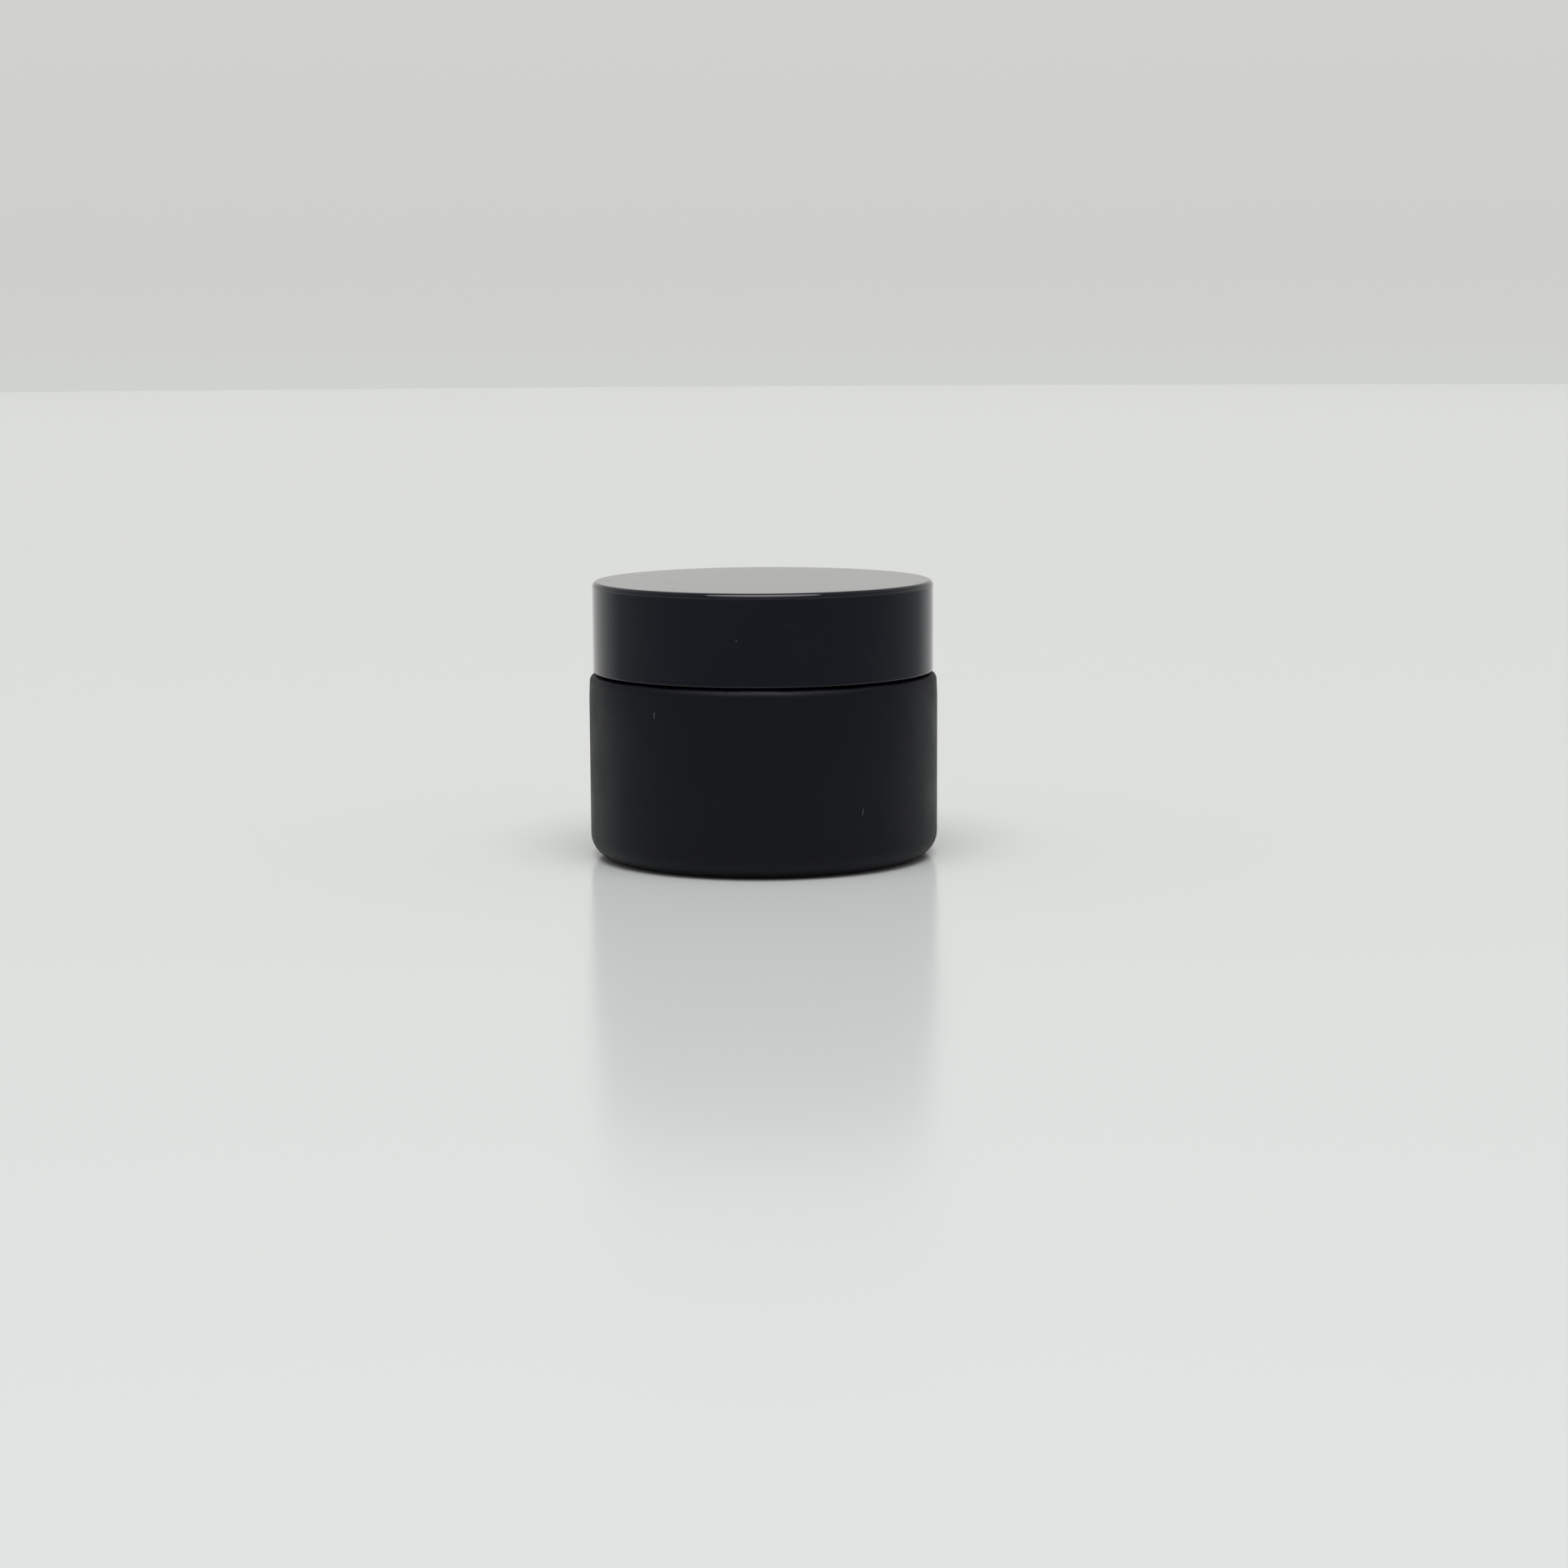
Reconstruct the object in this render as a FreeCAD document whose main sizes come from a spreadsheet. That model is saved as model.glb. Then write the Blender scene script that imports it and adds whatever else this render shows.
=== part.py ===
import FreeCAD, Part
import os
import re
import Sketcher

# Cosmetic cream jar: a thick-walled glass jar with a screw-on double-walled lid.
#
# Five pieces, from the bottom up:
#   glass_jar      pressed glass, with a bowl, a threaded neck and a rounded heel
#   sealing_disc   thin plastic disc with a pull tab, which plugs the jar's mouth
#   lid_liner      foam wad that presses on the disc when the lid is tight
#   lid_inner_cap  the lid's threaded inner wall, keyed into the shell
#   lid_shell      the lid's plain outer wall
#
# Millimetres. +Z is up along the jar's axis, and the origin is the middle of its base.
# Each piece is drawn in a frame of its own, and its Placement lifts it to its height.

SIZES = {
    # the jar's outside
    "jar_radius": 30.0,
    "shoulder_height": 31.65,
    "shoulder_easing": 0.15,
    "easing_height": 4.0,
    "shoulder_radius": 1.3,
    "heel_radius": 4.0,
    "push_up_radius": 20.5,
    "push_up_depth": 0.8,
    "push_up_slope": 1.2,
    # the jar's bowl
    "floor_thickness": 6.8,
    "bowl_floor_radius": 21.4,
    "bowl_mouth_radius": 22.6,
    "bowl_corner_radius": 7.0,
    # the neck
    "neck_radius": 25.2,
    "neck_height": 11.0,
    "neck_foot_radius": 0.8,
    "lip_radius": 0.9,
    # the thread: single start, right hand
    "thread_pitch": 4.2,
    "thread_turns": 1.25,
    "thread_sink": 0.3,
    "neck_thread_start": 3.95,
    "neck_thread_radius": 26.4,
    "neck_thread_base": 2.8,
    "neck_thread_crest": 1.0,
    "cap_thread_radius": 25.6,
    "cap_thread_base": 2.3,
    "cap_thread_crest": 0.8,
    "thread_flank_offset": 1.55,
    # the sealing disc
    "disc_radius": 24.6,
    "disc_flange": 0.6,
    "disc_edge_radius": 0.2,
    "plug_radius": 22.25,
    "plug_depth": 2.8,
    "plug_wall": 0.8,
    "pan_thickness": 0.6,
    "tab_width": 13.0,
    "tab_thickness": 1.0,
    "tab_height": 2.3,
    "tab_corner_radius": 1.0,
    # the liner
    "liner_radius": 26.6,
    "liner_thickness": 1.0,
    "liner_edge_radius": 0.2,
    # the lid's shell
    "lid_gap": 0.35,
    "lid_radius": 29.3,
    "lid_height": 15.5,
    "lid_wall": 1.2,
    "lid_top_thickness": 1.5,
    "lid_edge_radius": 0.9,
    "lid_inside_radius": 0.5,
    "lid_rim_radius": 0.2,
    "snap_depth": 0.15,
    "snap_width": 0.3,
    # the lid's inner cap
    "running_gap": 0.02,
    "cap_recess": 0.4,
    "cap_bore_radius": 26.85,
    "cap_wall": 1.0,
    "cap_fit_gap": 0.04,
    "cap_flange_height": 1.2,
    "cap_top_thickness": 1.1,
    "cap_corner_radius": 0.6,
    "bead_depth": 0.4,
    "bead_width": 0.6,
    "bead_drop": 1.35,
    "rib_inner_radius": 14.5,
    "rib_outer_radius": 24.0,
    "rib_wall": 0.8,
    "spline_width": 1.1,
    "spline_height": 8.0,
    "spline_count": 36,
}

# Heights that several pieces share, as expressions of the sizes above.
LIP = "shoulder_height + neck_height"
DISC_TOP = LIP + " + disc_flange"
LINER_TOP = DISC_TOP + " + liner_thickness"
SHELL_FOOT = "shoulder_height + lid_gap"
CAP_FOOT = SHELL_FOOT + " + cap_recess"
NECK_THREAD = "shoulder_height + neck_thread_start"
SHELL_BORE = "lid_radius - lid_wall"


def make_sheet(doc):
    """Put every driving dimension in the sheet, one named cell each."""
    sheet = doc.addObject("Spreadsheet::Sheet", "sizes")
    for row, (name, number) in enumerate(SIZES.items(), start=1):
        sheet.set(f"A{row}", name)
        sheet.set(f"B{row}", str(number))
        sheet.setAlias(f"B{row}", name)
    doc.recompute()


def bound(expression):
    """The expression with each size's name turned into its cell."""
    return re.sub(r"[a-z_]+", lambda word: "sizes." + word.group(), expression)


def value(doc, expression):
    """What an expression of the sizes comes to."""
    return float(doc.getObject("sizes").evalExpression(bound(expression)))


def new_body(doc, label, height):
    """A body named after its piece, lifted to its height on the axis."""
    body = doc.addObject("PartDesign::Body", label)
    body.Label = label
    body.setExpression("Placement.Base.z", bound(height))
    return body


def origin_plane(body, role):
    """One of the body's own origin planes."""
    for feature in body.Origin.OriginFeatures:
        if feature.Role == role:
            return feature
    raise RuntimeError(f"{body.Label} has no {role}")


def outline(body, name, points):
    """A closed outline of straight lines in the XZ plane, every corner bound to the sizes."""
    sketch = body.newObject("Sketcher::SketchObject", f"{body.Label}_{name}")
    sketch.AttachmentSupport = (origin_plane(body, "XZ_Plane"), [""])
    sketch.MapMode = "FlatFace"
    corners = [FreeCAD.Vector(value(body.Document, across), value(body.Document, up), 0)
               for across, up in points]
    count = len(corners)
    for index, corner in enumerate(corners):
        sketch.addGeometry(Part.LineSegment(corner, corners[(index + 1) % count]), False)
    for index in range(count):
        sketch.addConstraint(Sketcher.Constraint("Coincident", index, 2, (index + 1) % count, 1))
    for index, (across, up) in enumerate(points):
        bind_corner(sketch, index, "DistanceX", across, corners[index].x, -2)
        bind_corner(sketch, index, "DistanceY", up, corners[index].y, -1)
    return sketch


def bind_corner(sketch, index, kind, expression, number, axis):
    """Hold one coordinate of a corner: on the sketch's axis where it is 0, else at its size."""
    if expression == "0":
        sketch.addConstraint(Sketcher.Constraint("PointOnObject", index, 1, axis))
        return
    constraint = sketch.addConstraint(Sketcher.Constraint(kind, -1, 1, index, 1, number))
    sketch.setExpression(f"Constraints[{constraint}]", bound(expression))


def revolve(body, sketch):
    """Turn an outline once round the jar's axis."""
    feature = body.newObject("PartDesign::Revolution", f"{sketch.Label}_turned")
    feature.Profile = sketch
    feature.ReferenceAxis = (sketch, ["V_Axis"])
    feature.Angle = 360
    body.Document.recompute()
    return feature


def ring_edges(doc, shape, rings):
    """The names of the round edges about the axis that have these radii and heights."""
    tolerance = 0.001
    wanted = [(value(doc, radius), value(doc, height)) for radius, height in rings]
    names = []
    for number, edge in enumerate(shape.Edges, start=1):
        if not isinstance(edge.Curve, Part.Circle):
            continue
        found = (edge.Curve.Radius, edge.Curve.Center.z)
        if any(abs(found[0] - ring[0]) + abs(found[1] - ring[1]) < tolerance for ring in wanted):
            names.append(f"Edge{number}")
    if len(names) != len(rings):
        raise RuntimeError(f"{len(names)} round edges found for {rings}")
    return names


def fillet(body, base, name, radius, rings):
    """Round the edges given by their radius and height."""
    feature = body.newObject("PartDesign::Fillet", f"{body.Label}_{name}")
    feature.Base = (base, ring_edges(body.Document, base.Shape, rings))
    feature.setExpression("Radius", bound(radius))
    body.Document.recompute()
    return feature


def thread(body, sketch):
    """Wind a ridge's section up the axis as a right-hand helix."""
    volume_before = body.Shape.Volume
    feature = body.newObject("PartDesign::AdditiveHelix", f"{sketch.Label}_wound")
    feature.Profile = sketch
    feature.ReferenceAxis = (sketch, ["V_Axis"])
    feature.Mode = "pitch-turns-angle"
    feature.setExpression("Pitch", bound("thread_pitch"))
    feature.setExpression("Turns", bound("thread_turns"))
    feature.LeftHanded = False
    body.Document.recompute()
    if body.Shape.Volume <= volume_before:
        raise RuntimeError(f"{body.Label} gained nothing from its thread")


def make_glass_jar(doc):
    """Pressed glass: a plain cylinder outside, a draughted bowl inside, a threaded neck."""
    body = new_body(doc, "glass_jar", "0")
    section = outline(body, "section", [
        ("0", "push_up_depth"),
        ("push_up_radius - push_up_slope", "push_up_depth"),
        ("push_up_radius", "0"),
        ("jar_radius", "0"),
        ("jar_radius", "shoulder_height - easing_height"),
        ("jar_radius - shoulder_easing", "shoulder_height"),
        ("neck_radius", "shoulder_height"),
        ("neck_radius", LIP),
        ("bowl_mouth_radius", LIP),
        ("bowl_floor_radius", "floor_thickness"),
        ("0", "floor_thickness"),
    ])
    turned = revolve(body, section)
    rounded = fillet(body, turned, "heel", "heel_radius", [("jar_radius", "0")])
    rounded = fillet(body, rounded, "shoulder", "shoulder_radius",
                     [("jar_radius - shoulder_easing", "shoulder_height")])
    rounded = fillet(body, rounded, "neck_foot", "neck_foot_radius",
                     [("neck_radius", "shoulder_height")])
    rounded = fillet(body, rounded, "lip", "lip_radius",
                     [("neck_radius", LIP), ("bowl_mouth_radius", LIP)])
    fillet(body, rounded, "bowl", "bowl_corner_radius",
           [("bowl_floor_radius", "floor_thickness")])
    ridge = outline(body, "thread", [
        ("neck_radius - thread_sink", NECK_THREAD + " - neck_thread_base / 2"),
        ("neck_thread_radius", NECK_THREAD + " - neck_thread_crest / 2"),
        ("neck_thread_radius", NECK_THREAD + " + neck_thread_crest / 2"),
        ("neck_radius - thread_sink", NECK_THREAD + " + neck_thread_base / 2"),
    ])
    thread(body, ridge)
    return body


def make_sealing_disc(doc):
    """A shallow plastic pan: its flange lies on the lip and its wall plugs the bowl's mouth."""
    body = new_body(doc, "sealing_disc", LIP)
    pan_top = "pan_thickness - plug_depth"
    section = outline(body, "section", [
        ("0", "0 - plug_depth"),
        ("plug_radius", "0 - plug_depth"),
        ("plug_radius", "0"),
        ("disc_radius", "0"),
        ("disc_radius", "disc_flange"),
        ("plug_radius - plug_wall", "disc_flange"),
        ("plug_radius - plug_wall", pan_top),
        ("0", pan_top),
    ])
    turned = revolve(body, section)
    fillet(body, turned, "edges", "disc_edge_radius", [
        ("plug_radius", "0 - plug_depth"),
        ("disc_radius", "0"),
        ("disc_radius", "disc_flange"),
        ("plug_radius - plug_wall", "disc_flange"),
    ])
    tab = outline(body, "tab", [
        ("0 - tab_width / 2", pan_top),
        ("tab_width / 2", pan_top),
        ("tab_width / 2", pan_top + " + tab_height - tab_corner_radius"),
        ("tab_width / 2 - tab_corner_radius", pan_top + " + tab_height"),
        ("tab_corner_radius - tab_width / 2", pan_top + " + tab_height"),
        ("0 - tab_width / 2", pan_top + " + tab_height - tab_corner_radius"),
    ])
    pad = body.newObject("PartDesign::Pad", "sealing_disc_tab_raised")
    pad.Profile = tab
    pad.SideType = "Symmetric"
    pad.setExpression("Length", bound("tab_thickness"))
    doc.recompute()
    return body


def make_lid_liner(doc):
    """A flat foam wad, held up in the inner cap by the cap's bead."""
    body = new_body(doc, "lid_liner", DISC_TOP)
    section = outline(body, "section", [
        ("0", "0"),
        ("liner_radius", "0"),
        ("liner_radius", "liner_thickness"),
        ("0", "liner_thickness"),
    ])
    turned = revolve(body, section)
    fillet(body, turned, "edges", "liner_edge_radius",
           [("liner_radius", "0"), ("liner_radius", "liner_thickness")])
    return body


def make_lid_inner_cap(doc):
    """The threaded cap inside the lid, with ring ribs under the shell's top and side splines."""
    body = new_body(doc, "lid_inner_cap", CAP_FOOT)
    ceiling = f"{LINER_TOP} + running_gap - ({CAP_FOOT})"
    roof = ceiling + " + cap_top_thickness"
    rib_top = f"{SHELL_FOOT} + lid_height - lid_top_thickness - running_gap - ({CAP_FOOT})"
    skirt = "cap_bore_radius + cap_wall"
    flange = SHELL_BORE + " - cap_fit_gap"
    bead = ceiling + " - bead_drop"
    section = outline(body, "section", [
        ("cap_bore_radius", "0"),
        (flange, "0"),
        (flange, "cap_flange_height"),
        (skirt, "cap_flange_height"),
        (skirt, roof),
        ("rib_outer_radius + rib_wall", roof),
        ("rib_outer_radius + rib_wall", rib_top),
        ("rib_outer_radius", rib_top),
        ("rib_outer_radius", roof),
        ("rib_inner_radius + rib_wall", roof),
        ("rib_inner_radius + rib_wall", rib_top),
        ("rib_inner_radius", rib_top),
        ("rib_inner_radius", roof),
        ("0", roof),
        ("0", ceiling),
        ("cap_bore_radius", ceiling),
        ("cap_bore_radius", bead + " + bead_width / 2"),
        ("cap_bore_radius - bead_depth", bead),
        ("cap_bore_radius", bead + " - bead_width / 2"),
    ])
    turned = revolve(body, section)
    rounded = fillet(body, turned, "shoulder", "cap_corner_radius", [(skirt, roof)])
    add_splines(body, rounded)
    middle = f"{NECK_THREAD} - thread_flank_offset - ({CAP_FOOT})"
    ridge = outline(body, "thread", [
        ("cap_bore_radius + thread_sink", middle + " - cap_thread_base / 2"),
        ("cap_bore_radius + thread_sink", middle + " + cap_thread_base / 2"),
        ("cap_thread_radius", middle + " + cap_thread_crest / 2"),
        ("cap_thread_radius", middle + " - cap_thread_crest / 2"),
    ])
    thread(body, ridge)
    return body


def add_splines(body, base):
    """Upright splines round the inner cap, which key it in the shell so that both turn."""
    doc = body.Document
    spline = outline(body, "spline", [
        ("cap_bore_radius + cap_wall / 2", "cap_flange_height"),
        (SHELL_BORE + " - cap_fit_gap", "cap_flange_height"),
        (SHELL_BORE + " - cap_fit_gap", "cap_flange_height + spline_height"),
        ("cap_bore_radius + cap_wall / 2", "cap_flange_height + spline_height"),
    ])
    pad = body.newObject("PartDesign::Pad", "lid_inner_cap_spline_raised")
    pad.Profile = spline
    pad.SideType = "Symmetric"
    pad.setExpression("Length", bound("spline_width"))
    doc.recompute()
    ring = body.newObject("PartDesign::PolarPattern", "lid_inner_cap_splines")
    ring.Originals = [pad]
    ring.Axis = (spline, ["V_Axis"])
    ring.Angle = 360
    ring.setExpression("Occurrences", bound("spline_count"))
    body.Tip = ring
    doc.recompute()
    if body.Shape.Volume <= base.Shape.Volume:
        raise RuntimeError("the inner cap gained nothing from its splines")


def make_lid_shell(doc):
    """The lid's plain outer cup, with a snap bead that holds the inner cap up."""
    body = new_body(doc, "lid_shell", SHELL_FOOT)
    inside_top = "lid_height - lid_top_thickness"
    bead_top = "cap_recess - running_gap"
    section = outline(body, "section", [
        (SHELL_BORE, "0"),
        ("lid_radius", "0"),
        ("lid_radius", "lid_height"),
        ("0", "lid_height"),
        ("0", inside_top),
        (SHELL_BORE, inside_top),
        (SHELL_BORE, bead_top),
        (SHELL_BORE + " - snap_depth", bead_top + " - snap_width / 2"),
        (SHELL_BORE + " - snap_depth", bead_top + " - snap_width"),
    ])
    turned = revolve(body, section)
    rounded = fillet(body, turned, "top_edge", "lid_edge_radius", [("lid_radius", "lid_height")])
    rounded = fillet(body, rounded, "rim", "lid_rim_radius", [("lid_radius", "0")])
    fillet(body, rounded, "inside_corner", "lid_inside_radius", [(SHELL_BORE, inside_top)])
    return body


def check(doc, pieces):
    """Stop before anything is written if a feature failed or a piece isn't one sound solid."""
    failed = [item.Name for item in doc.Objects
              if "Invalid" in item.State or "Error" in item.State]
    if failed:
        raise RuntimeError(f"failed features: {failed}")
    for piece in pieces:
        shape = piece.Shape
        if shape.isNull() or not shape.isValid() or len(shape.Solids) != 1:
            raise RuntimeError(f"{piece.Label} isn't one sound solid")


def main():
    os.makedirs("parts", exist_ok=True)
    doc = FreeCAD.newDocument("cream_jar")
    make_sheet(doc)
    pieces = [
        make_glass_jar(doc),
        make_sealing_disc(doc),
        make_lid_liner(doc),
        make_lid_inner_cap(doc),
        make_lid_shell(doc),
    ]
    doc.recompute()
    check(doc, pieces)
    for piece in pieces:
        piece.Shape.exportStep(f"parts/{piece.Label}.step")
        box = piece.Shape.BoundBox
        print(f"{piece.Label}: {piece.Shape.Volume / 1000:.2f} cm3,"
              f" z {box.ZMin:.2f} to {box.ZMax:.2f}, widest {box.XLength:.2f}")


main()
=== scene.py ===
from math import ceil, cos, pi, radians, sin, tan

import bmesh
import bpy
from mathutils import Matrix, Vector


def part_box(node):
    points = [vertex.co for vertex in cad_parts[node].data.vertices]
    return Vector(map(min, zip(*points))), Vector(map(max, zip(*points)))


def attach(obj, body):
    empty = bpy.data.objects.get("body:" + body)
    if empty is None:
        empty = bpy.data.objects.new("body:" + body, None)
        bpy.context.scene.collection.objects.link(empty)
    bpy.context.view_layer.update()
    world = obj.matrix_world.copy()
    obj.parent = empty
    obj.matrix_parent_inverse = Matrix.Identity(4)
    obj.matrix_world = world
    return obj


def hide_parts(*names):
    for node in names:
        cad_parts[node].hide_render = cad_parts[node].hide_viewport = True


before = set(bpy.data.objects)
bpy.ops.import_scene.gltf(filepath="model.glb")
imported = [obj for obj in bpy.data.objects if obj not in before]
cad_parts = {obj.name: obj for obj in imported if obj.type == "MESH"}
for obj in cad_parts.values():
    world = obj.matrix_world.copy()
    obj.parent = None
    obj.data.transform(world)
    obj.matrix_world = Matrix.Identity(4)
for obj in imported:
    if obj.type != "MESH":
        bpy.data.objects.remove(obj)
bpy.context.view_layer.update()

# Cosmetic cream jar: the visible pieces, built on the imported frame. Metres, Z up along the jar's
# axis, with the origin in the middle of the base. Every piece is turned from an outline of
# (radius, height, rounding) corners, and its sizes repeat the model's own.

MM = 0.001

# the jar
JAR_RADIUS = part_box("glass_jar")[1].x
SHOULDER_HEIGHT = 31.65 * MM
SHOULDER_EASING = 0.15 * MM
EASING_HEIGHT = 4.0 * MM
EASING_ROUND = 20 * MM
SHOULDER_ROUND = 1.3 * MM
SHOULDER_WAVE = 0.085 * MM
SHOULDER_DROP = 0.05 * MM
WAVE_REACH_DOWN = 3 * MM
WAVE_REACH_IN = 2 * MM
HEEL_ROUND = 4.0 * MM
PUSH_UP_RADIUS = 20.5 * MM
PUSH_UP_DEPTH = 0.8 * MM
PUSH_UP_SLOPE = 1.2 * MM
BOWL_FLOOR_HEIGHT = 6.8 * MM
BOWL_FLOOR_RADIUS = 21.4 * MM
BOWL_MOUTH_RADIUS = 22.6 * MM
BOWL_ROUND = 7.0 * MM
NECK_RADIUS = 25.2 * MM
NECK_FOOT_ROUND = 0.8 * MM
LIP_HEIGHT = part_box("glass_jar")[1].z
LIP_ROUND = 0.9 * MM

# the thread on the neck and the one in the cap: single start, right hand, from +X upwards
THREAD_PITCH = 4.2 * MM
THREAD_TURNS = 1.25
THREAD_FADE = radians(16)
NECK_THREAD_START = SHOULDER_HEIGHT + 3.95 * MM
NECK_THREAD_RADIUS = 26.4 * MM
NECK_THREAD_HALF_BASE = 1.4 * MM
NECK_THREAD_HALF_CREST = 0.5 * MM
CAP_THREAD_START = NECK_THREAD_START - 1.55 * MM
CAP_THREAD_RADIUS = 25.6 * MM
CAP_THREAD_HALF_BASE = 1.15 * MM
CAP_THREAD_HALF_CREST = 0.4 * MM

# the lid
LID_FOOT, LID_HEAD = (corner.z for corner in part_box("lid_shell"))
LID_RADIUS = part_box("lid_shell")[1].x
LID_WALL = 1.2 * MM
LID_TOP_THICKNESS = 1.5 * MM
LID_EDGE_ROUND = 0.9 * MM
SNAP_BEAD_HEIGHT = 0.38 * MM
SNAP_BEAD_SLOPE = 0.2 * MM
SNAP_BEAD_DEPTH = 0.15 * MM
SNAP_BEAD_LEAD = 0.06 * MM
CAP_FOOT, CAP_HEAD = (corner.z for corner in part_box("lid_inner_cap"))
CAP_BORE = 26.85 * MM
CAP_WALL = 1.0 * MM
CAP_ROOF_THICKNESS = 1.1 * MM
CAP_FLANGE_THICKNESS = 1.2 * MM
CAP_FLANGE_RADIUS = LID_RADIUS - LID_WALL - 0.04 * MM
CAP_RIBS = (14.5 * MM, 24.0 * MM)
CAP_RIB_WIDTH = 0.8 * MM
CAP_BEAD_DROP = 1.35 * MM
CAP_BEAD_HALF_HEIGHT = 0.3 * MM
CAP_BEAD_DEPTH = 0.4 * MM
SPLINE_COUNT = 36
SPLINE_WIDTH = 1.1 * MM
SPLINE_HEIGHT = 8.0 * MM
CAP_SEGMENTS = 11 * SPLINE_COUNT

# the liner and the sealing disc
LINER_FOOT, LINER_HEAD = (corner.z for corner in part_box("lid_liner"))
LINER_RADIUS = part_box("lid_liner")[1].x
LINER_GAP = 0.02 * MM
PRESSED_RADII = (22.6 * MM, 23.0 * MM, 24.6 * MM, 24.9 * MM)
PRESSED_DEPTH = 0.07 * MM
DISC_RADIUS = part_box("sealing_disc")[1].x
DISC_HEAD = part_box("sealing_disc")[1].z
PLUG_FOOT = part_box("sealing_disc")[0].z
PLUG_RADIUS = 22.25 * MM
PLUG_WALL = 0.8 * MM
PAN_THICKNESS = 0.6 * MM
TAB_WIDTH = 13.0 * MM
TAB_THICKNESS = 1.0 * MM
TAB_HEIGHT = 2.3 * MM
TAB_CORNER = 1.0 * MM
TAB_EDGE_ROUND = 0.22 * MM
TAB_SUNK = 0.2 * MM

# meshes
SEGMENTS = 288
ARC_STEPS = 8
EDGE_GUARD = 0.06 * MM
ROW_HEIGHT = 1.2 * MM
THREAD_ROW_HEIGHT = 0.13 * MM


# ---------------------------------------------------------------- outlines and turned meshes

def rounded(corners, steps=ARC_STEPS):
    """The outline's points, with an arc at each (radius, height, rounding) corner."""
    points = []
    for index, (radius, height, rounding) in enumerate(corners):
        here = Vector((radius, height))
        if rounding == 0:
            points.append(here)
            continue
        back = (Vector(corners[index - 1][:2]) - here).normalized()
        ahead = (Vector(corners[index + 1][:2]) - here).normalized()
        half_turn = (pi - back.angle(ahead)) / 2
        centre = here + (back + ahead).normalized() * rounding / cos(half_turn)
        start = here + back * rounding * tan(half_turn) - centre
        end = here + ahead * rounding * tan(half_turn) - centre
        points += [centre + start.slerp(end, step / steps) * rounding for step in range(steps + 1)]
    return points


def filled(points, thread_radius=0.0):
    """The outline with rows between far points, and one close to each end of a long stretch.

    An upright stretch at thread_radius gets close rows, for the thread that winds on it.
    """
    rows = []
    for here, following in zip(points, points[1:]):
        rows.append(here)
        along = following - here
        if along.length < 4 * EDGE_GUARD:
            continue
        guard = along.normalized() * EDGE_GUARD
        inner = along - 2 * guard
        upright = max(abs(here.x - thread_radius), abs(following.x - here.x)) < EDGE_GUARD
        row_height = THREAD_ROW_HEIGHT if upright else ROW_HEIGHT
        spans = max(1, ceil(inner.length / row_height))
        rows += [here + guard + inner * step / spans for step in range(spans + 1)]
    rows.append(points[-1])
    return rows


def turned(name, rows, shape=None, zone=None, segments=SEGMENTS):
    """A mesh turned once round the axis, from the axis to the axis.

    shape(angle, radius, height) moves a point, and zone(index) gives the number of the material
    on the faces that follow a row.
    """
    mesh = bmesh.new()
    rings = []
    for row in rows:
        if row.x < EDGE_GUARD / 2:
            rings.append([mesh.verts.new((0, 0, row.y))])
            continue
        ring = []
        for segment in range(segments):
            angle = 2 * pi * segment / segments
            radius, height = shape(angle, row.x, row.y) if shape else (row.x, row.y)
            ring.append(mesh.verts.new((radius * cos(angle), radius * sin(angle), height)))
        rings.append(ring)
    for index, (lower, upper) in enumerate(zip(rings, rings[1:])):
        number = zone(index) if zone else 0
        for segment in range(segments):
            join_rings(mesh, lower, upper, segment, (segment + 1) % segments, number)
    bmesh.ops.recalc_face_normals(mesh, faces=mesh.faces)
    return finished(name, mesh)


def join_rings(mesh, lower, upper, here, following, number):
    """One face between two rings, either of which may be a single point on the axis."""
    if len(lower) == 1:
        corners = [lower[0], upper[here], upper[following]]
    elif len(upper) == 1:
        corners = [lower[here], upper[0], lower[following]]
    else:
        corners = [lower[here], upper[here], upper[following], lower[following]]
    mesh.faces.new(corners).material_index = number


def finished(name, mesh):
    """The scene's object for a finished bmesh, shaded smooth."""
    for face in mesh.faces:
        face.smooth = True
    data = bpy.data.meshes.new(name)
    mesh.to_mesh(data)
    mesh.free()
    piece = bpy.data.objects.new(name, data)
    bpy.context.scene.collection.objects.link(piece)
    return piece


def smooth_step(amount):
    """0 to 1 with soft ends."""
    amount = min(1.0, max(0.0, amount))
    return amount * amount * (3 - 2 * amount)


def thread_rise(angle, height, start, half_base, half_crest):
    """How far up its flank a point stands on the helical ridge: 0 beside it, 1 on its crest."""
    rise = 0.0
    for turn in range(ceil(THREAD_TURNS)):
        wound = angle + 2 * pi * turn
        left = 2 * pi * THREAD_TURNS - wound
        if left < 0:
            continue
        fade = smooth_step(wound / THREAD_FADE) * smooth_step(left / THREAD_FADE)
        away = abs(height - start - THREAD_PITCH * wound / (2 * pi))
        flank = smooth_step((half_base - away) / (half_base - half_crest))
        rise = max(rise, fade * flank)
    return rise


# ---------------------------------------------------------------- node helpers

def add_node(tree, kind, inputs=None, **settings):
    """A node with its settings, and its inputs set to a value or linked to a socket."""
    node = tree.nodes.new(kind)
    for name, setting in settings.items():
        setattr(node, name, setting)
    for name, given in (inputs or {}).items():
        if isinstance(given, bpy.types.NodeSocket):
            tree.links.new(given, node.inputs[name])
        else:
            node.inputs[name].default_value = given
    return node


def maths(tree, operation, *given):
    """The result of a Math node."""
    inputs = dict(enumerate(given))
    return add_node(tree, "ShaderNodeMath", inputs, operation=operation).outputs[0]


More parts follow.
